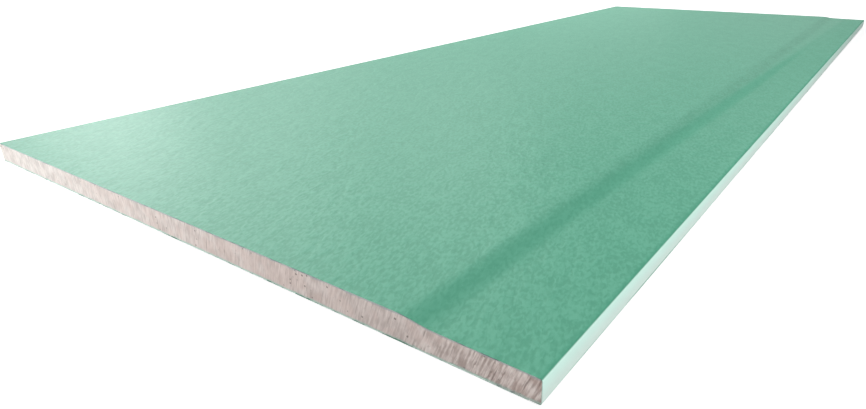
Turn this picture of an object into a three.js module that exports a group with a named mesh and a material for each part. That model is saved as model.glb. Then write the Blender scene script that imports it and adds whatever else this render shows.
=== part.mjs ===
// Moisture-resistant drywall sheet, 600 x 1500 x 18 mm: half of a 1200 mm board, cut along its
// length, so one long side is the factory's tapered and paper-bound edge and the other is cut.
//
// Frame: millimetres, +Z up. The sheet lies on its back. The origin is the centre of its underside,
// X runs across the width with the bound edge at +X, and Y runs along the length.
//
// Every piece has one cross-section all along the board, as the board line makes it: the face paper
// is run in flat, slurry is poured on it, its margin is folded up round the slurry and in over the
// back, and the back paper is laid on last and laps over the folded margin.

import * as THREE from 'three';

// Overall size
const BOARD_WIDTH = 600;
const BOARD_LENGTH = 1500;
const BOARD_THICKNESS = 18;

// Tapered edge: a short ramp, then a long shallow fall to the edge
const TAPER_WIDTH = 85; // bound edge to the crest of the ramp
const RAMP_WIDTH = 24;
const RAMP_DROP = 2.4;
const EDGE_DROP = 3; // how far the bound edge is below the face
const RAMP_STEPS = 10;

// Papers
const FACE_PAPER_THICKNESS = 0.4;
const BACK_PAPER_THICKNESS = 0.4;
const BEND_RADIUS = 1.4; // outside of the face paper, where it turns round the bound edge
const BEND_STEPS = 6;
const FLAP_WIDTH = 24; // folded margin of the face paper, measured under the board
const BACK_PAPER_MARGIN = 7; // bound edge to the edge of the back paper

const CUT_X = -BOARD_WIDTH / 2;
const BOUND_X = BOARD_WIDTH / 2;
const EDGE_TOP = BOARD_THICKNESS - EDGE_DROP;
const FLAP_END_X = BOUND_X - FLAP_WIDTH;

/** S-shaped fall from the flat of the face to the shallow run, as points from crest to foot. */
function rampPoints(depth) {
  const crestX = BOUND_X - TAPER_WIDTH;
  const footX = crestX + RAMP_WIDTH;
  const crestZ = BOARD_THICKNESS - depth;
  const footZ = crestZ - RAMP_DROP;
  const runSlope = (EDGE_DROP - RAMP_DROP) / (BOUND_X - footX);
  const reach = RAMP_WIDTH / 3;
  const curve = new THREE.CubicBezierCurve(
    new THREE.Vector2(crestX, crestZ),
    new THREE.Vector2(crestX + reach, crestZ),
    new THREE.Vector2(footX - reach, footZ + reach * runSlope),
    new THREE.Vector2(footX, footZ),
  );
  return curve.getPoints(RAMP_STEPS);
}

/** Quarter turn of the paper, as points from startAngle on, clockwise seen from the near end. */
function bendPoints(centreZ, radius, startAngle) {
  const centreX = BOUND_X - BEND_RADIUS;
  const clockwise = true;
  const endAngle = startAngle - Math.PI / 2;
  const curve = new THREE.EllipseCurve(
    centreX, centreZ, radius, radius, startAngle, endAngle, clockwise,
  );
  return curve.getPoints(BEND_STEPS);
}

/**
 * Line that the face paper follows, at a depth under its outer surface: along the face, round the
 * bound edge and in to the end of the flap. Depth 0 is the outside, the paper's thickness the inside.
 */
function wrapLine(depth) {
  const radius = BEND_RADIUS - depth;
  return [
    new THREE.Vector2(CUT_X, BOARD_THICKNESS - depth),
    ...rampPoints(depth),
    ...bendPoints(EDGE_TOP - BEND_RADIUS, radius, Math.PI / 2),
    ...bendPoints(BACK_PAPER_THICKNESS + BEND_RADIUS, radius, 0),
    new THREE.Vector2(FLAP_END_X, BACK_PAPER_THICKNESS + depth),
  ];
}

/** A piece with one cross-section, drawn in X and Z, along the whole board. */
function runPiece(name, outline, finish) {
  const geometry = new THREE.ExtrudeGeometry(new THREE.Shape(outline), {
    depth: BOARD_LENGTH,
    bevelEnabled: false,
  });
  const mesh = new THREE.Mesh(geometry, new THREE.MeshStandardMaterial(finish));
  mesh.name = name;
  mesh.rotation.x = Math.PI / 2;
  mesh.position.y = BOARD_LENGTH / 2;
  return mesh;
}

const paperOutside = wrapLine(0);
const paperInside = wrapLine(FACE_PAPER_THICKNESS);

/** Green liner: one sheet over the face, round the bound edge and folded in over the back. */
function makeFacePaper() {
  const outline = [...paperOutside, ...paperInside.toReversed()];
  return runPiece('face_paper', outline, { color: 0x74b49a, roughness: 0.62, metalness: 0 });
}

/** Gypsum core: fills the folded face paper, with a shallow step where the flap is pressed in. */
function makeGypsumCore() {
  const outline = [
    ...paperInside,
    new THREE.Vector2(FLAP_END_X, BACK_PAPER_THICKNESS),
    new THREE.Vector2(CUT_X, BACK_PAPER_THICKNESS),
  ];
  return runPiece('gypsum_core', outline, { color: 0xd9c6be, roughness: 0.95, metalness: 0 });
}

/** Back liner: flat, from the cut edge to a narrow margin short of the bound edge. */
function makeBackPaper() {
  const edgeX = BOUND_X - BACK_PAPER_MARGIN;
  const outline = [
    new THREE.Vector2(CUT_X, BACK_PAPER_THICKNESS),
    new THREE.Vector2(FLAP_END_X, BACK_PAPER_THICKNESS),
    new THREE.Vector2(edgeX, BACK_PAPER_THICKNESS),
    new THREE.Vector2(edgeX, 0),
    new THREE.Vector2(CUT_X, 0),
  ];
  return runPiece('back_paper', outline, { color: 0x7fae98, roughness: 0.8, metalness: 0 });
}

const drywallSheet = new THREE.Group();
drywallSheet.name = 'drywall_sheet';
drywallSheet.add(makeFacePaper(), makeGypsumCore(), makeBackPaper());

export default drywallSheet;
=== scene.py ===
"""Looks of a moisture-resistant drywall sheet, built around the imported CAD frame.

The sheet lies on its back, bound edge at +X and the near cut end at -Y. Three pieces stand for the
three CAD nodes: the face paper, which wraps the bound edge, the gypsum core, whose cut faces are
modelled with their saw streaks and pits, and the back paper. All lengths are in metres.
"""

import math

import bpy
import numpy as np
from mathutils import Matrix, Vector


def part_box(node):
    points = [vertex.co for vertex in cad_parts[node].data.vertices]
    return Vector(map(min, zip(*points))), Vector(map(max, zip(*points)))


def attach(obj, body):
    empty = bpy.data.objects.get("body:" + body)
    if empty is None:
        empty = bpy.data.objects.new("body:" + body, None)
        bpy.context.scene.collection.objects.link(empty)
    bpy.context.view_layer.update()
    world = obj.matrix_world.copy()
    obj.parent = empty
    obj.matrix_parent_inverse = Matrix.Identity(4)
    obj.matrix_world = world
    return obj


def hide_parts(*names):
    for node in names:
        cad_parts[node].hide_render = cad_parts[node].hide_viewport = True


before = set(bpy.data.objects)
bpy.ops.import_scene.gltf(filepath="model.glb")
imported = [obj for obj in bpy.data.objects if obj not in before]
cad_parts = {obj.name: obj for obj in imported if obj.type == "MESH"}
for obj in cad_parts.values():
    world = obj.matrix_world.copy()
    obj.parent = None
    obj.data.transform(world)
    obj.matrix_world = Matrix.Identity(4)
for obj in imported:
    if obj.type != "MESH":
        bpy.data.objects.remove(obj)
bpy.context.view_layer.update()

MM = 0.001

# ---------------------------------------------------------------- sizes, from the frame
FACE_LOW, FACE_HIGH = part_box("face_paper")
CORE_LOW, CORE_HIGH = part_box("gypsum_core")
BACK_LOW, BACK_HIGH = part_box("back_paper")

CUT_X, BOUND_X = FACE_LOW.x, FACE_HIGH.x
NEAR_Y, FAR_Y = FACE_LOW.y, FACE_HIGH.y
THICKNESS = FACE_HIGH.z
FACE_PAPER = FACE_HIGH.z - CORE_HIGH.z
BACK_PAPER = BACK_HIGH.z

# Cross-section of the bound edge, as in the CAD
TAPER_WIDTH = 85 * MM
RAMP_WIDTH = 24 * MM
RAMP_DROP = 2.4 * MM
EDGE_DROP = 3 * MM
BEND_RADIUS = 1.4 * MM
FLAP_WIDTH = 24 * MM

# Centres of the two bends that take the face paper round the edge
BEND_X = BOUND_X - BEND_RADIUS
TOP_BEND_Z = THICKNESS - EDGE_DROP - BEND_RADIUS
LOW_BEND_Z = BACK_PAPER + BEND_RADIUS

# The saw left deep streaks over this much of the cut ends, next to the bound edge
TORN_WIDTH = 85 * MM

# Spacing of the meshes
FACE_COLUMN = 1.25 * MM
SIDE_COLUMN = 1 * MM
FLAP_COLUMN = 2 * MM
BACK_COLUMN = 2 * MM
CORE_COLUMN = 0.65 * MM
TORN_COLUMN = 0.38 * MM
CORE_LAYERS = 26
EDGE_ROW = 1.3 * MM
BEND_STEPS = 7
ROW = 25 * MM
# The papers' rows of points next to each end, by their distance from it
END_ROWS = [d * MM for d in (0, 0.25, 0.55, 0.95, 1.5, 2.4, 4, 7, 12, 20)]
# Edges that turn by more than this are sharp
SHARP_ANGLE = math.radians(38)

# ---------------------------------------------------------------- noise
NOISE_CELLS = 512
# Noise along a line is read at this height of the noise plane
NOISE_LINE = 0.5


def smoothstep(low, high, value):
    """Smooth step from 0, where the value is low, to 1, where it is high."""
    t = np.clip((value - low) / (high - low), 0, 1)
    return t * t * (3 - 2 * t)


def value_noise(u, v, seed):
    """Smooth noise from -1 to 1, with features about 1 long in u and in v."""
    table = np.random.default_rng(seed).uniform(-1, 1, (NOISE_CELLS, NOISE_CELLS))
    u, v = np.broadcast_arrays(u, v)
    column, row = np.floor(u).astype(int), np.floor(v).astype(int)
    s, t = u - column, v - row
    s, t = s * s * (3 - 2 * s), t * t * (3 - 2 * t)
    c0, c1 = column % NOISE_CELLS, (column + 1) % NOISE_CELLS
    r0, r1 = row % NOISE_CELLS, (row + 1) % NOISE_CELLS
    low = table[c0, r0] * (1 - s) + table[c1, r0] * s
    high = table[c0, r1] * (1 - s) + table[c1, r1] * s
    return low * (1 - t) + high * t


def fractal_noise(u, v, seed, octaves):
    """Noise from -1 to 1 in which each octave is half as strong and half as large as the last."""
    total = np.zeros(np.broadcast(u, v).shape)
    for k in range(octaves):
        total = total + value_noise(u * 2 ** k, v * 2 ** k, seed + k) / 2 ** k
    return total / (2 - 2 / 2 ** octaves)


def line_noise(along, length, seed):
    """Noise from -1 to 1 along a line, with features of a length."""
    return value_noise(along / length, NOISE_LINE, seed)


# ---------------------------------------------------------------- cross-section
def face_height(x, depth):
    """Height of the face at x, at a depth under the paper's outer surface, up to the bend."""
    x = np.asarray(x, float)
    crest = BOUND_X - TAPER_WIDTH
    foot = crest + RAMP_WIDTH
    run_slope = (EDGE_DROP - RAMP_DROP) / (BOUND_X - foot)
    t = np.clip((x - crest) / RAMP_WIDTH, 0, 1)
    end_lift = RAMP_WIDTH / 3 * run_slope
    fall = 3 * t ** 2 * (1 - t) * (RAMP_DROP - end_lift) + t ** 3 * RAMP_DROP
    past_foot = np.clip((x - foot) / (BEND_X - foot), 0, 1)
    fall = fall + past_foot * (EDGE_DROP - RAMP_DROP)
    return THICKNESS - depth - fall


def spaced(start, end, step):
    """Evenly spaced values from start to end, both included, about a step apart."""
    count = max(1, round(abs(end - start) / step))
    return np.linspace(start, end, count + 1)


def bend(centre_z, radius, start_angle):
    """Points in X and Z on a quarter turn, clockwise from a start angle."""
    angles = start_angle - np.linspace(0, math.pi / 2, BEND_STEPS + 1)
    return np.stack([BEND_X + radius * np.cos(angles), centre_z + radius * np.sin(angles)], 1)


def wrap_line(depth):
    """Points in X and Z that the face paper follows: face, bound edge, flap."""
    radius = BEND_RADIUS - depth
    across = spaced(CUT_X, BEND_X, FACE_COLUMN)[:-1]
    face = np.stack([across, face_height(across, depth)], 1)
    side_z = spaced(TOP_BEND_Z, LOW_BEND_Z, SIDE_COLUMN)[1:-1]
    side = np.stack([np.full(len(side_z), BOUND_X - depth), side_z], 1)
    under_x = spaced(BEND_X, BOUND_X - FLAP_WIDTH, FLAP_COLUMN)[1:]
    under = np.stack([under_x, np.full(len(under_x), BACK_PAPER + depth)], 1)
    return np.concatenate([
        face,
        bend(TOP_BEND_Z, radius, math.pi / 2),
        side,
        bend(LOW_BEND_Z, radius, 0),
        under,
    ])


def board_rows():
    """Places along the board, close together at both ends."""
    near = [NEAR_Y + d for d in END_ROWS]
    far = [FAR_Y - d for d in reversed(END_ROWS)]
    middle = spaced(near[-1], far[0], ROW)[1:-1]
    return np.array([*near, *middle, *far])


def make_object(name, points, faces, material, node, values):
    """A piece that stands for a CAD node. values holds one number a vertex for each name."""
    mesh = bpy.data.meshes.new(name)
    mesh.from_pydata(points.tolist(), [], faces)
    mesh.polygons.foreach_set("use_smooth", [True] * len(mesh.polygons))
    for key, numbers in values.items():
        attribute = mesh.attributes.new(key, "FLOAT", "POINT")
        attribute.data.foreach_set("value", np.asarray(numbers, np.float32))
    mesh.materials.append(material)
    mesh.set_sharp_from_angle(angle=SHARP_ANGLE)
    mesh.validate()
    mesh.update()
    piece = bpy.data.objects.new(name, mesh)
    bpy.context.scene.collection.objects.link(piece)
    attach(piece, "root")
    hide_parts(node)
    return piece


# ---------------------------------------------------------------- papers
# The papers' cut edges: a faint wander, and nicks that come in groups
WANDER_DEPTH, WANDER_LENGTH = 0.09 * MM, 5 * MM
NICK_DEPTH, NICK_LENGTH, NICK_GROUP = 0.55 * MM, 2.6 * MM, 30 * MM
# The raggedness dies out over this much of the board's length
RAGGED_REACH = 2.4 * MM

# The lower border of the bound side's painted sheen wanders by these shares of the bend radius
BORDER_WAVE, BORDER_WAVE_LENGTH = 0.7, 26 * MM
BORDER_RIPPLE, BORDER_RIPPLE_LENGTH = 0.3, 7 * MM

# Painted shade: a darker band is painted along the foot of the ramp, where the taper shades the face.
# It drifts towards the bound edge along the board, and loses a share of its strength between two
# places on the way
BAND_MIDDLE = BOUND_X - 53.5 * MM
BAND_HALF_WIDTH = 15 * MM
BAND_DRIFT = 0.028
BAND_FADE, BAND_FADE_START, BAND_FADE_END = 0.6, -200 * MM, 400 * MM

# Between the band and the bound edge a weaker painted shade, with more roughness, comes in between
# two places along the board
RUN_PAINTED_SHADE, RUN_START, RUN_END = 0.4, -500 * MM, 200 * MM
RUN_BLEND = 10 * MM

# A narrow line of painted shade, with more roughness, runs along the top bend
CORNER_WIDTH = 4 * MM


def ragged_end(along, seed):
    """How far a cut paper edge stands back, along its length."""
    wander = WANDER_DEPTH * (1 + fractal_noise(along / WANDER_LENGTH, NOISE_LINE, seed, 3))
    nicks = smoothstep(0.45, 0.95, line_noise(along, NICK_LENGTH, seed + 9))
    groups = smoothstep(0, 0.6, line_noise(along, NICK_GROUP, seed + 11))
    return wander + NICK_DEPTH * nicks * groups


def sheet_faces(count, rows):
    """Faces of a sheet in which each row holds count outer points and then count inner points."""
    faces = []
    ring = 2 * count
    for j in range(rows - 1):
        a, b = j * ring, (j + 1) * ring
        for i in range(count - 1):
            faces.append((a + i, a + i + 1, b + i + 1, b + i))
            faces.append((a + count + i + 1, a + count + i, b + count + i, b + count + i + 1))
        faces.append((a + count, a, b, b + count))
        faces.append((a + count - 1, a + ring - 1, b + ring - 1, b + count - 1))
    last = (rows - 1) * ring
    for i in range(count - 1):
        faces.append((i + 1, i, count + i, count + i + 1))
        faces.append((last + i, last + i + 1, last + count + i + 1, last + count + i))
    return faces


def paper_sheet(outer, inner, seed):
    """Closed sheet between an outer and an inner line, swept along the board, with ragged ends.

    Gives its points, its faces, and each point's ply: 0 on the outer line and 1 on the inner one.
    """
    rows = board_rows()
    steps = np.linalg.norm(np.diff(outer, axis=0), axis=1)
    along = np.concatenate([[0], np.cumsum(steps)])
    near_cut, far_cut = ragged_end(along, seed), ragged_end(along, seed + 50)
    points, ply = [], []
    for y in rows:
        near_hold = 1 - smoothstep(0, RAGGED_REACH, y - NEAR_Y)
        far_hold = 1 - smoothstep(0, RAGGED_REACH, FAR_Y - y)
        place = y + near_cut * near_hold - far_cut * far_hold
        for line, depth in ((outer, 0), (inner, 1)):
            points.append(np.stack([line[:, 0], place, line[:, 1]], 1))
            ply.append(np.full(len(line), depth))
    return np.concatenate(points), sheet_faces(len(outer), len(rows)), np.concatenate(ply)


def painted_side_sheen(x, y, z):
    """1 on the bound side, which is painted pale as a sheen, and 0 on the face and on the flap."""
    turned = smoothstep(0.55, 0.9, (x - BEND_X) / BEND_RADIUS)
    wave = BORDER_WAVE * line_noise(y, BORDER_WAVE_LENGTH, 61)
    ripple = BORDER_RIPPLE * line_noise(y, BORDER_RIPPLE_LENGTH, 62)
    return turned * smoothstep(-0.5, 0.1, (z - LOW_BEND_Z) / BEND_RADIUS + wave + ripple)


def painted_shade_matte_mask(x, y):
    """Painted shade, with more roughness, from 0 to 1: most on the band and at the top bend."""
    middle = BAND_MIDDLE + BAND_DRIFT * y
    band = 1 - smoothstep(0, BAND_HALF_WIDTH, np.abs(x - middle))
    band = band * (1 - BAND_FADE * smoothstep(BAND_FADE_START, BAND_FADE_END, y))
    run = RUN_PAINTED_SHADE * smoothstep(middle - RUN_BLEND, middle + RUN_BLEND, x)
    run = run * smoothstep(RUN_START, RUN_END, y)
    corner = smoothstep(BOUND_X - CORNER_WIDTH, BEND_X, x)
    return np.maximum.reduce([band, run, corner])


def make_face_liner(material):
    """The green paper over the face, round the bound edge and in under the core."""
    points, faces, ply = paper_sheet(wrap_line(0), wrap_line(FACE_PAPER), seed=3)
    x, y, z = points.T
    return make_object(
        "face_liner", points, faces, material, "face_paper",
        {"ply": ply, "painted_side_sheen": painted_side_sheen(x, y, z), "painted_shade_matte": painted_shade_matte_mask(x, y)},
    )


def make_back_liner(material):
    """The flat paper under the core and the flap."""
    x = spaced(BACK_LOW.x, BACK_HIGH.x, BACK_COLUMN)[::-1]
    outer = np.stack([x, np.zeros(len(x))], 1)
    inner = np.stack([x, np.full(len(x), BACK_PAPER)], 1)
    points, faces, ply = paper_sheet(outer, inner, seed=23)
    return make_object(
        "back_liner", points, faces, material, "back_paper",
        {"ply": ply},
    )


# ---------------------------------------------------------------- core
# Marks on the sawn faces: the depth of each kind, and its size along and up the face
WAVE_DEPTH, WAVE_SIZE = 0.12 * MM, (40 * MM, 30 * MM)
BROAD_DEPTH, BROAD_SIZE = 0.24 * MM, (2.8 * MM, 90 * MM)
FINE_DEPTH, FINE_SIZE = 0.1 * MM, (1.2 * MM, 30 * MM)
GASH_DEPTH, GASH_SIZE, GASH_GROUP = 0.34 * MM, (3.4 * MM, 70 * MM), (6 * MM, 14 * MM)
GRIT_DEPTH, GRIT_SIZE = 0.05 * MM, (0.8 * MM, 0.7 * MM)

# The core crumbles along its top and bottom, over a share of its height
CRUMBLE_DEPTH, CRUMBLE_LENGTH, CRUMBLE_SHARE = 0.35 * MM, 3 * MM, 0.07

# Bowls left by air bubbles, on each sawn face
PIT_COUNT, PIT_DEPTH = 170, 0.6 * MM
SMALLEST_PIT, LARGEST_PIT = 0.4 * MM, 1.1 * MM

# Lean of the streaks in degrees, and the strength of the relief
CUT_LEAN, BOUND_LEAN, SIDE_LEAN = -5, 20, 8
SMOOTH_RELIEF, TORN_RELIEF, SIDE_RELIEF = 0.45, 1.8, 0.6

# The cut side's relief dies out this far from the board's ends
SIDE_SETTLE = 3 * MM


def core_columns():
    """Places across the core, with its bottom and top height at each."""
    radius = BEND_RADIUS - FACE_PAPER
    torn_x = BOUND_X - TORN_WIDTH
    across = np.concatenate([
        spaced(CUT_X, torn_x, CORE_COLUMN)[:-1],
        spaced(torn_x, BEND_X, TORN_COLUMN),
    ])
    angles = np.linspace(0, math.pi / 2, BEND_STEPS)[1:]
    turn_x = BEND_X + radius * np.sin(angles)
    turn_z = radius * np.cos(angles)
    flap_end = BOUND_X - FLAP_WIDTH
    bottom = np.where(across < flap_end, BACK_PAPER, BACK_PAPER + FACE_PAPER)
    x = np.concatenate([across, turn_x])
    top = np.concatenate([face_height(across, FACE_PAPER), TOP_BEND_Z + turn_z])
    low = np.concatenate([bottom, LOW_BEND_Z - turn_z])
    return x, low, top


def pit_field(along, up, seed):
    """Depth of the pits at each point of a sawn face."""
    rng = np.random.default_rng(seed)
    field = np.zeros(along.shape)
    line = along[:, 0]
    for _ in range(PIT_COUNT):
        centre = rng.uniform(line[0], line[-1])
        height = rng.uniform(CORE_LOW.z, CORE_HIGH.z)
        radius = rng.uniform(SMALLEST_PIT, LARGEST_PIT)
        first, last = np.searchsorted(line, [centre - radius, centre + radius])
        part = slice(max(first - 1, 0), last + 1)
        distance = np.hypot(along[part] - centre, up[part] - height) / radius
        bowl = PIT_DEPTH * radius / LARGEST_PIT * np.clip(1 - distance ** 2, 0, None)
        field[part] = np.maximum(field[part], bowl)
    return field


def sized(along, up, size):
    """Places on a sawn face, counted in features of a size (along, up)."""
    return along / size[0], up / size[1]


def crumbled(along, up, seed):
    """Depth of the crumbled margins at each point of a sawn face."""
    height = (up - CORE_LOW.z) / (CORE_HIGH.z - CORE_LOW.z)
    margin = 1 - smoothstep(0, CRUMBLE_SHARE, np.minimum(height, 1 - height))
    groups = smoothstep(-0.2, 0.8, value_noise(along / CRUMBLE_LENGTH, height, seed))
    return CRUMBLE_DEPTH * margin * groups


def sawn_depth(along, up, seed, lean, relief):
    """How far a sawn face stands back. lean is an angle, and relief the strength of the streaks."""
    slanted = along - up * np.tan(lean)
    waves = WAVE_DEPTH * (1 + fractal_noise(*sized(along, up, WAVE_SIZE), seed, 2))
    broad = BROAD_DEPTH * np.abs(fractal_noise(*sized(slanted, up, BROAD_SIZE), seed + 5, 2))
    fine = FINE_DEPTH * np.abs(value_noise(*sized(slanted, up, FINE_SIZE), seed + 8))
    crests = smoothstep(0.8, 1, 1 - np.abs(value_noise(*sized(slanted, up, GASH_SIZE), seed + 30)))
    groups = smoothstep(-0.1, 0.5, value_noise(*sized(slanted, up, GASH_GROUP), seed + 31))
    grit = GRIT_DEPTH * np.abs(value_noise(*sized(along, up, GRIT_SIZE), seed + 12))
    streaks = relief * (broad + fine + GASH_DEPTH * crests * groups)
    return waves + streaks + grit + crumbled(along, up, seed + 16) + pit_field(along, up, seed + 20)


def end_depths(grid_x, grid_z):
    """How far the near and the far end stand back. Each, seen from in front, has the same lean."""
    across = (grid_x - CUT_X) / (BOUND_X - CUT_X)
    lean = np.radians(CUT_LEAN + (BOUND_LEAN - CUT_LEAN) * across)
    torn = smoothstep(BOUND_X - TORN_WIDTH, BOUND_X, grid_x)
    relief = SMOOTH_RELIEF + (TORN_RELIEF - SMOOTH_RELIEF) * torn
    near_depth = sawn_depth(grid_x, grid_z, 101, lean, relief)
    far_depth = sawn_depth(grid_x, grid_z, 202, -lean, relief)
    return near_depth, far_depth


def cut_side_points(heights):
    """Points of the cut side between its two ends, one row a place along the board."""
    y = spaced(NEAR_Y, FAR_Y, EDGE_ROW)
    side_y = np.repeat(y[:, None], len(heights), 1)
    side_z = np.repeat(heights[None, :], len(y), 0)
    depth = sawn_depth(side_y, side_z, 303, math.radians(SIDE_LEAN), SIDE_RELIEF)
    from_end = np.minimum(side_y - NEAR_Y, FAR_Y - side_y)
    depth = depth * smoothstep(0, SIDE_SETTLE, from_end)
    return np.stack([CUT_X + depth, side_y, side_z], 2)[1:-1]


def quads(a, b, c, d):
    """Four-sided faces from the numbers of their corners, in four arrays."""
    return np.stack([a, b, c, d], -1).reshape(-1, 4).tolist()


def core_faces(near, far, side):
    """Faces of the core, from the numbers of the points on its near end, far end and cut side."""
    faces = quads(near[:-1, :-1], near[1:, :-1], near[1:, 1:], near[:-1, 1:])
    faces += quads(far[1:, :-1], far[:-1, :-1], far[:-1, 1:], far[1:, 1:])
    faces += quads(side[1:, :-1], side[:-1, :-1], side[:-1, 1:], side[1:, 1:])
    faces += quads(near[1:-1, -1], near[2:, -1], far[2:, -1], far[1:-1, -1])
    faces += quads(near[2:, 0], near[1:-1, 0], far[1:-1, 0], far[2:, 0])
    faces += quads(near[-1, :-1], far[-1, :-1], far[-1, 1:], near[-1, 1:])
    # The first strip of the top and of the underside joins the finely divided cut side.
    top_strip = np.array([near[1, -1], far[1, -1], *side[::-1, -1]])
    low_strip = np.array([far[1, 0], near[1, 0], *side[:, 0]])
    return faces + [top_strip.tolist(), low_strip.tolist()]


def make_core(material):
    """The gypsum between the papers, finely divided on its two sawn ends and its cut side."""
    x, low, top = core_columns()
    share = np.linspace(0, 1, CORE_LAYERS + 1)
    grid_x = np.repeat(x[:, None], len(share), 1)
    grid_z = low[:, None] + (top - low)[:, None] * share[None, :]
    near_depth, far_depth = end_depths(grid_x, grid_z)
    near = np.stack([grid_x, NEAR_Y + near_depth, grid_z], 2)
    far = np.stack([grid_x, FAR_Y - far_depth, grid_z], 2)
    side = cut_side_points(grid_z[0])
    points = np.concatenate([near.reshape(-1, 3), far.reshape(-1, 3), side.reshape(-1, 3)])

    near_id = np.arange(grid_x.size).reshape(grid_x.shape)
    far_id = near_id + grid_x.size
    first_inner = 2 * grid_x.size
    inner_id = np.arange(first_inner, len(points)).reshape(side.shape[:2])
    side_id = np.concatenate([near_id[:1], inner_id, far_id[:1]])
    values = {
        "under_face": face_height(points[:, 0], FACE_PAPER) - points[:, 2],
        "over_back": points[:, 2] - BACK_PAPER,
        "cut_side": np.arange(len(points)) >= first_inner,
    }
    return make_object(
        "gypsum_block", points, core_faces(near_id, far_id, side_id), material,
        "gypsum_core", values,
    )


# ---------------------------------------------------------------- shader graph
# Sockets of the Mix node when it mixes colours
MIX_A, MIX_B, MIX_RESULT = 6, 7, 2


class Graph:
    """Short calls that add shader nodes to one material."""

    def __init__(self, name):
        self.material = bpy.data.materials.new(name)
        self.material.use_nodes = True
        self.nodes = self.material.node_tree.nodes
        self.links = self.material.node_tree.links
        self.shader = self.nodes["Principled BSDF"]
        self.place = self.nodes.new("ShaderNodeTexCoord").outputs["Object"]

    def link(self, value, socket):
        """Gives a socket a plain value, or links it to another socket."""
        if isinstance(value, bpy.types.NodeSocket):
            self.links.new(value, socket)
        else:
            socket.default_value = value

    def set(self, name, value):
        self.link(value, self.shader.inputs[name])

    def drawn_out(self, vector, turn, stretch):
        """Coordinates whose pattern is stretched along a line turned about Z from the Y axis."""
        node = self.nodes.new("ShaderNodeMapping")
        node.vector_type = "TEXTURE"
        self.links.new(vector, node.inputs["Vector"])
        node.inputs["Rotation"].default_value = (0, 0, turn)
        node.inputs["Scale"].default_value = (1, stretch, 1)
        return node.outputs["Vector"]

    def noise(self, vector, scale, detail=2.0, distortion=0.0):
        node = self.nodes.new("ShaderNodeTexNoise")
        self.links.new(vector, node.inputs["Vector"])
        node.inputs["Scale"].default_value = scale
        node.inputs["Detail"].default_value = detail
        node.inputs["Distortion"].default_value = distortion
        return node.outputs["Fac"]

    def cells(self, vector, scale):
        """Distance to the middle of the nearest cell, in cells."""
        node = self.nodes.new("ShaderNodeTexVoronoi")
        self.links.new(vector, node.inputs["Vector"])
        node.inputs["Scale"].default_value = scale
        return node.outputs["Distance"]

    def map(self, value, low, high, to_low=0.0, to_high=1.0):
        """Smooth step from to_low, where the value is low, to to_high, where it is high."""
        node = self.nodes.new("ShaderNodeMapRange")
        node.interpolation_type = "SMOOTHSTEP"
        self.link(value, node.inputs["Value"])
        node.inputs["From Min"].default_value = low
        node.inputs["From Max"].default_value = high
        node.inputs["To Min"].default_value = to_low
        node.inputs["To Max"].default_value = to_high
        return node.outputs["Result"]

    def math(self, operation, a, b):
        node = self.nodes.new("ShaderNodeMath")
        node.operation = operation
        self.link(a, node.inputs[0])
        self.link(b, node.inputs[1])
        return node.outputs["Value"]

    def times(self, a, b):
        return self.math("MULTIPLY", a, b)

    def weighted(self, first, *others):
        """Sum of (value, weight) pairs."""
        total = self.times(*first)
        for pair in others:
            total = self.math("ADD", total, self.times(*pair))
        return total

    def mix(self, amount, a, b):
        """Colour a, or colour b where the amount is 1."""
        node = self.nodes.new("ShaderNodeMix")
        node.data_type = "RGBA"
        self.link(amount, node.inputs["Factor"])
        self.link(a, node.inputs[MIX_A])
        self.link(b, node.inputs[MIX_B])
        return node.outputs[MIX_RESULT]

    def attribute(self, name):
        node = self.nodes.new("ShaderNodeAttribute")
        node.attribute_name = name
        return node.outputs["Fac"]

    def split(self, vector):
        node = self.nodes.new("ShaderNodeSeparateXYZ")
        self.links.new(vector, node.inputs["Vector"])
        return node.outputs

    def join(self, x, y, z):
        node = self.nodes.new("ShaderNodeCombineXYZ")
        for value, socket in zip((x, y, z), node.inputs):
            self.link(value, socket)
        return node.outputs["Vector"]

    def bump(self, height, distance, normal=None):
        """Normal of a relief, as high as height times distance, laid over another normal."""
        node = self.nodes.new("ShaderNodeBump")
        node.inputs["Distance"].default_value = distance
        self.links.new(height, node.inputs["Height"])
        if normal is not None:
            self.links.new(normal, node.inputs["Normal"])
        return node.outputs["Normal"]


def srgb(red, green, blue):
    """A colour written from 0 to 255, as linear values."""
    def linear(value):
        value /= 255
        return value / 12.92 if value <= 0.04045 else ((value + 0.055) / 1.055) ** 2.4
    return (linear(red), linear(green), linear(blue), 1)


# ---------------------------------------------------------------- paper materials
# Colours of the two papers, of their cut edges and of the bound side, painted pale as a sheen
FACE_LIGHT, FACE_DARK = srgb(102, 171, 145), srgb(88, 157, 131)
# Darker green painted on the band as shade
FACE_PAINTED_SHADE = srgb(78, 153, 126)
FACE_EDGE_DARK, FACE_EDGE_PALE = srgb(128, 132, 140), srgb(200, 206, 202)
SIDE_SHEEN_LOW, SIDE_SHEEN_HIGH = srgb(219, 239, 231), srgb(214, 248, 237)
BACK_LIGHT, BACK_DARK = srgb(140, 190, 168), srgb(112, 166, 143)
BACK_EDGE_DARK, BACK_EDGE_PALE = srgb(104, 152, 132), srgb(226, 248, 238)

# Scales of the paper's patterns, in features a metre
SWELL_SCALE = 95
GRAIN_SCALE = 450
FIBRE_SCALE = 1100
EDGE_PATCH_SCALE = 110

# The paper's grain is drawn out along a line a little off the board's length
GRAIN_TURN = math.radians(20)
GRAIN_STRETCH = 2.2

SWELL_RELIEF = 0.6 * MM
GRAIN_RELIEF = 0.16 * MM

# The bound side's painted sheen changes its colour between these heights
SIDE_LOW_Z, SIDE_HIGH_Z = 3 * MM, 14 * MM
# Share of the painted shade's colour at full shade, and the roughness of plain and shaded paper
PAINTED_SHADE_SHARE = 0.5
PLAIN_ROUGHNESS, SHADE_BAND_ROUGHNESS = 0.41, 0.56


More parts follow.
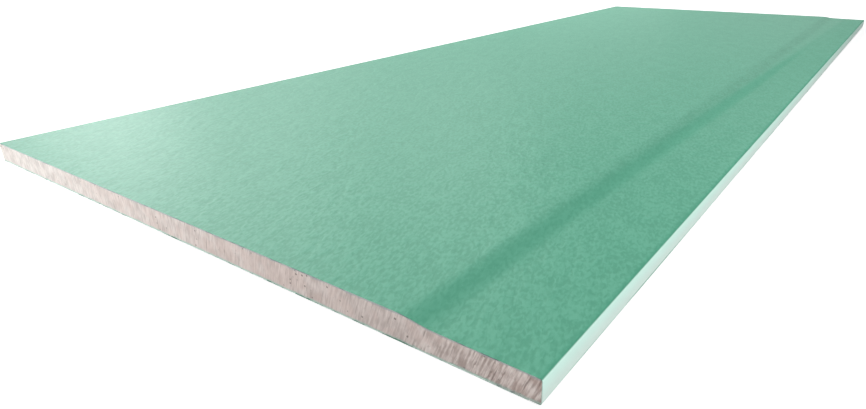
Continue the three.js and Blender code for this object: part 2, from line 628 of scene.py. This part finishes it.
def fibrous_paper(graph, light, dark, edge_dark, edge_pale):
    """Colour and normal of liner paper: low swells, a leathery grain, short fibres, pale cut edges."""
    place = graph.drawn_out(graph.place, GRAIN_TURN, GRAIN_STRETCH)
    swells = graph.noise(place, SWELL_SCALE, detail=1, distortion=0.6)
    grain = graph.noise(place, GRAIN_SCALE, detail=1.5, distortion=0.5)
    fibres = graph.noise(place, FIBRE_SCALE, detail=1, distortion=1.5)
    tone = graph.weighted((grain, 0.66), (fibres, 0.08), (swells, 0.26))
    colour = graph.mix(graph.map(tone, 0.37, 0.63), dark, light)
    edge_patches = graph.map(graph.noise(graph.place, EDGE_PATCH_SCALE), 0.4, 0.52)
    edge_colour = graph.mix(edge_patches, edge_dark, edge_pale)
    edge = graph.map(graph.attribute("ply"), 0.12, 0.4)
    normal = graph.bump(swells, SWELL_RELIEF)
    normal = graph.bump(graph.weighted((grain, 0.85), (fibres, 0.15)), GRAIN_RELIEF, normal)
    return graph.mix(edge, colour, edge_colour), normal


def face_paper_material():
    graph = Graph("green_face_paper")
    colour, normal = fibrous_paper(graph, FACE_LIGHT, FACE_DARK, FACE_EDGE_DARK, FACE_EDGE_PALE)
    painted_shade_matte = graph.attribute("painted_shade_matte")
    # The band's darker colour is painted shade.
    colour = graph.mix(graph.times(painted_shade_matte, PAINTED_SHADE_SHARE), colour, FACE_PAINTED_SHADE)
    height = graph.split(graph.place)["Z"]
    # The bound side is painted pale, as a painted sheen.
    side_sheen_colour = graph.mix(graph.map(height, SIDE_LOW_Z, SIDE_HIGH_Z), SIDE_SHEEN_LOW, SIDE_SHEEN_HIGH)
    graph.set("Base Color", graph.mix(graph.attribute("painted_side_sheen"), colour, side_sheen_colour))
    graph.set("Normal", normal)
    graph.set("Roughness", graph.map(painted_shade_matte, 0, 1, PLAIN_ROUGHNESS, SHADE_BAND_ROUGHNESS))
    graph.set("Specular IOR Level", 0.045)
    return graph.material


def back_paper_material():
    graph = Graph("green_back_paper")
    colour, normal = fibrous_paper(graph, BACK_LIGHT, BACK_DARK, BACK_EDGE_DARK, BACK_EDGE_PALE)
    graph.set("Base Color", colour)
    graph.set("Normal", normal)
    graph.set("Roughness", 0.75)
    graph.set("Specular IOR Level", 0.25)
    return graph.material


# ---------------------------------------------------------------- gypsum material
# Streaked gypsum, and the smoother gypsum next to the cut side, painted greyer there as painted light
STREAK_DARK, STREAK_LIGHT = srgb(176, 156, 149), srgb(247, 235, 229)
SMOOTH_PAINTED_LIGHT_GREY, SMOOTH_PINK = srgb(211, 212, 208), srgb(221, 210, 205)
# Pink patches; painted shade on the cut side, in the deepest cuts and in the pores
BLUSH = srgb(224, 203, 195)
CUT_SIDE_SHADE = srgb(158, 146, 138)
DEEP_CUT_SHADE = srgb(128, 107, 100)
PORE_SHADE = srgb(126, 112, 106)
# Painted shade along the core's top, under the face paper, and a pale green along its bottom
UNDER_FACE_SHADE, OVER_BACK_TINT = srgb(176, 182, 186), srgb(192, 210, 201)

# Scales of the gypsum's patterns, in features a metre
STREAK_SCALE = 780
CUT_SCALE = 560
CLOUD_SCALE = 115
BLUSH_SCALE = 90
PORE_SCALE = 260
PORE_GROUP_SCALE = 150
GRIT_SCALE = 1300

# How far a streak leans for each step up, at the cut side and at the bound side
CUT_SLOPE, BOUND_SLOPE = -0.09, 0.4
# Coordinates up the face shrink to this, which draws the pattern out into streaks
STREAK_SHRINK = 0.13

# The streaks have their least strength up to here, and reach their full one at the bound side
STREAKED_X = BOUND_X - 100 * MM
LEAST_STREAKED = 0.45
# The pink patches grow stronger from the cut side up to here; their fading towards the cut side is
# painted light, where the near end is lit brightest
PINK_X = BOUND_X - 200 * MM
LEAST_PINK, MOST_PINK = 0.08, 0.34

# Strength of the other marks: the painted shades, and the pale green along the core's bottom
CUT_SIDE_SHADING = 0.4
CUT_STRENGTH = 0.6
PORE_STRENGTH = 0.85
UNDER_FACE_SHADE_STRENGTH, OVER_BACK_STRENGTH = 0.8, 0.9
# The margins' borders wander by this much in all
MARGIN_WANDER = 2 * MM

GYPSUM_RELIEF = 0.3 * MM


def streak_place(graph):
    """Coordinates whose pattern runs along the saw's streaks."""
    x, y, z = graph.split(graph.place)
    slope = graph.map(x, CUT_X, BOUND_X, CUT_SLOPE, BOUND_SLOPE)
    slanted = graph.math("SUBTRACT", graph.math("ADD", x, y), graph.times(z, slope))
    return graph.join(slanted, 0.0, graph.times(z, STREAK_SHRINK))


def gypsum_body(graph, torn, streaks, clouds):
    """Colour of the sawn gypsum, with painted light and shade, without its cuts, pores and margins."""
    x = graph.split(graph.place)["X"]
    tone = graph.weighted((streaks, 0.6), (clouds, 0.4))
    streaked = graph.mix(graph.map(tone, 0.36, 0.64), STREAK_DARK, STREAK_LIGHT)
    # Painted light: greyer towards the cut side, where the near end is lit brightest
    smooth = graph.mix(graph.map(x, CUT_X, STREAKED_X), SMOOTH_PAINTED_LIGHT_GREY, SMOOTH_PINK)
    colour = graph.mix(torn, smooth, streaked)
    # Painted light: the pink patches fade towards the cut side
    pinkness = graph.map(x, CUT_X, PINK_X, LEAST_PINK, MOST_PINK)
    patches = graph.map(graph.noise(graph.place, BLUSH_SCALE), 0.45, 0.6)
    colour = graph.mix(graph.times(patches, pinkness), colour, BLUSH)
    # Painted shade: the cut side is painted darker
    return graph.mix(graph.times(graph.attribute("cut_side"), CUT_SIDE_SHADING), colour, CUT_SIDE_SHADE)


def gypsum_pores(graph):
    """Strength of the pores, which come in groups, and 0 between them: it sets their painted shade and
    bump.
    """
    groups = graph.map(graph.noise(graph.place, PORE_GROUP_SCALE), 0.56, 0.62)
    pores = graph.map(graph.cells(graph.place, PORE_SCALE), 0.24, 0.12)
    return graph.times(pores, graph.times(groups, PORE_STRENGTH))


def shaded_and_tinted_margins(graph, colour, clouds):
    """Adds painted shade along the core's top and pale green along its bottom, with ragged borders."""
    ragged = graph.times(graph.math("SUBTRACT", clouds, 0.5), MARGIN_WANDER)
    below = graph.math("ADD", graph.attribute("under_face"), ragged)
    above = graph.math("ADD", graph.attribute("over_back"), ragged)
    top = graph.map(below, 0.2 * MM, 1.2 * MM, UNDER_FACE_SHADE_STRENGTH, 0)
    bottom = graph.map(above, 0.3 * MM, 1.6 * MM, OVER_BACK_STRENGTH, 0)
    return graph.mix(bottom, graph.mix(top, colour, UNDER_FACE_SHADE), OVER_BACK_TINT)


def gypsum_material():
    graph = Graph("sawn_pink_gypsum")
    x = graph.split(graph.place)["X"]
    torn = graph.map(x, STREAKED_X, BOUND_X, LEAST_STREAKED)
    lines = streak_place(graph)
    streaks = graph.noise(lines, STREAK_SCALE, detail=3)
    clouds = graph.noise(graph.place, CLOUD_SCALE, detail=3)
    colour = gypsum_body(graph, torn, streaks, clouds)
    # Painted shade in the deepest saw cuts, which grows towards the bound side
    cuts = graph.map(graph.noise(lines, CUT_SCALE), 0.4, 0.3)
    colour = graph.mix(graph.times(cuts, graph.times(torn, CUT_STRENGTH)), colour, DEEP_CUT_SHADE)
    pores = gypsum_pores(graph)
    # Painted shade in the pores
    colour = graph.mix(pores, colour, PORE_SHADE)
    grit = graph.noise(graph.place, GRIT_SCALE, detail=3)
    height = graph.weighted((streaks, 0.7), (grit, 0.3), (pores, -0.4))
    graph.set("Base Color", shaded_and_tinted_margins(graph, colour, clouds))
    graph.set("Normal", graph.bump(height, GYPSUM_RELIEF))
    graph.set("Roughness", 0.95)
    graph.set("Specular IOR Level", 0.15)
    return graph.material


# ---------------------------------------------------------------- stage
FLOOR_HALF_WIDTH = 20
# The floor lies a little under the sheet, so that the two don't share a plane
FLOOR_LEVEL = -0.3 * MM
FLOOR_GREY = (0.5, 0.5, 0.5, 1)
# Strength of the floor's own white where it is seen, and of the world's light on the object
FLOOR_GLOW = 0.8
WORLD_LIGHT = 0.16


def seen_ray(nodes, links):
    """1 for camera, mirror and see-through rays, which show the backdrop, and 0 for the light's own."""
    path = nodes.new("ShaderNodeLightPath")
    total = path.outputs["Is Camera Ray"]
    for name in ("Is Glossy Ray", "Is Transmission Ray"):
        node = nodes.new("ShaderNodeMath")
        node.operation = "MAXIMUM"
        links.new(total, node.inputs[0])
        links.new(path.outputs[name], node.inputs[1])
        total = node.outputs["Value"]
    return total


def floor_material():
    """A pale floor that takes shadows and, where it is seen, also shines by itself."""
    material = bpy.data.materials.new("pale_floor")
    material.use_nodes = True
    nodes, links = material.node_tree.nodes, material.node_tree.links
    nodes.clear()
    diffuse = nodes.new("ShaderNodeBsdfDiffuse")
    diffuse.inputs["Color"].default_value = FLOOR_GREY
    strength = nodes.new("ShaderNodeMath")
    strength.operation = "MULTIPLY"
    links.new(seen_ray(nodes, links), strength.inputs[0])
    strength.inputs[1].default_value = FLOOR_GLOW
    glow = nodes.new("ShaderNodeEmission")
    links.new(strength.outputs["Value"], glow.inputs["Strength"])
    both = nodes.new("ShaderNodeAddShader")
    links.new(diffuse.outputs["BSDF"], both.inputs[0])
    links.new(glow.outputs["Emission"], both.inputs[1])
    output = nodes.new("ShaderNodeOutputMaterial")
    links.new(both.outputs["Shader"], output.inputs["Surface"])
    return material


def make_floor():
    half, level = FLOOR_HALF_WIDTH, FLOOR_LEVEL
    corners = [(-half, -half, level), (half, -half, level), (half, half, level), (-half, half, level)]
    mesh = bpy.data.meshes.new("floor")
    mesh.from_pydata(corners, [], [(0, 1, 2, 3)])
    mesh.materials.append(floor_material())
    floor = bpy.data.objects.new("floor", mesh)
    bpy.context.scene.collection.objects.link(floor)


def make_world():
    """White where it is seen, and a faint even light on the object."""
    world = bpy.data.worlds.new("studio")
    bpy.context.scene.world = world
    world.use_nodes = True
    nodes, links = world.node_tree.nodes, world.node_tree.links
    background = nodes["Background"]
    background.inputs["Color"].default_value = (1, 1, 1, 1)
    strength = nodes.new("ShaderNodeMapRange")
    links.new(seen_ray(nodes, links), strength.inputs["Value"])
    strength.inputs["To Min"].default_value = WORLD_LIGHT
    strength.inputs["To Max"].default_value = 1.0
    links.new(strength.outputs["Result"], background.inputs["Strength"])


def make_lamp(name, place, target, size, power, spread=180):
    """A soft rectangular lamp, size (width, height), that faces a target. spread is in degrees."""
    data = bpy.data.lights.new(name, "AREA")
    data.shape = "RECTANGLE"
    data.size, data.size_y = size
    data.energy = power
    data.spread = math.radians(spread)
    lamp = bpy.data.objects.new(name, data)
    lamp.location = place
    aim = Vector(target) - Vector(place)
    lamp.rotation_euler = aim.to_track_quat("-Z", "Y").to_euler()
    bpy.context.scene.collection.objects.link(lamp)


def make_lamps():
    """Soft light from high behind, on the bound side from the right, and from the left for the sheen."""
    make_lamp("right", (1.35, -0.7, 0.8), (0.2, -0.3, 0), (1.2, 0.9), 15.1)
    make_lamp("left", (-1.9, -0.15, 0.75), (-0.15, -0.5, 0), (0.6, 0.5), 7.4)
    make_lamp("near_left", (-1.7, -0.04, 0.58), (-0.15, -0.45, 0), (0.5, 0.4), 3)
    make_lamp("high_back", (-2.6, 0.9, 2.2), (-0.1, -0.2, 0), (1.2, 1.2), 69)
    make_lamp("back_left", (-2.35, 1.15, 1.3), (-0.2, 0, 0), (1.0, 0.5), 8.3)
    make_lamp("far_left", (-1.2, 2.65, 0.5), (-0.2, 0.5, 0), (0.8, 0.6), 0.6)
    make_lamp("high_left", (-1.1, 1.05, 1.15), (0.1, -0.5, 0), (0.6, 0.4), 9.8)
    make_lamp("front_left", (-1.0, -1.75, 0.18), (-0.17, -0.75, 0), (0.3, 0.3), 1.4, spread=46)


# ---------------------------------------------------------------- camera
CAMERA_PLACE = (0.3985, -0.9409, 0.1923)
# Heading is measured from +Y towards +X, and down from the horizon
CAMERA_HEADING = math.radians(-35.89)
CAMERA_DOWN = math.radians(23.57)
CAMERA_ROLL = math.radians(-0.78)
CAMERA_LENS = 25.14
CAMERA_SHIFT = (-0.0398, 0.0)
SENSOR_WIDTH = 36.0
NEAREST_SEEN = 10 * MM


def make_camera():
    """The camera at the photograph's viewing angle."""
    data = bpy.data.cameras.new("camera")
    data.lens = CAMERA_LENS
    data.sensor_width = SENSOR_WIDTH
    data.sensor_fit = "HORIZONTAL"
    data.shift_x, data.shift_y = CAMERA_SHIFT
    data.clip_start = NEAREST_SEEN
    camera = bpy.data.objects.new("camera", data)
    turn = Matrix.Rotation(-CAMERA_HEADING, 4, "Z")
    tilt = Matrix.Rotation(math.pi / 2 - CAMERA_DOWN, 4, "X")
    roll = Matrix.Rotation(CAMERA_ROLL, 4, "Z")
    camera.matrix_world = Matrix.Translation(CAMERA_PLACE) @ turn @ tilt @ roll
    bpy.context.scene.collection.objects.link(camera)
    bpy.context.scene.camera = camera


# ---------------------------------------------------------------- scene
make_camera()
make_face_liner(face_paper_material())
make_core(gypsum_material())
make_back_liner(back_paper_material())
make_floor()
make_world()
make_lamps()
bpy.context.scene.view_settings.view_transform = "Standard"
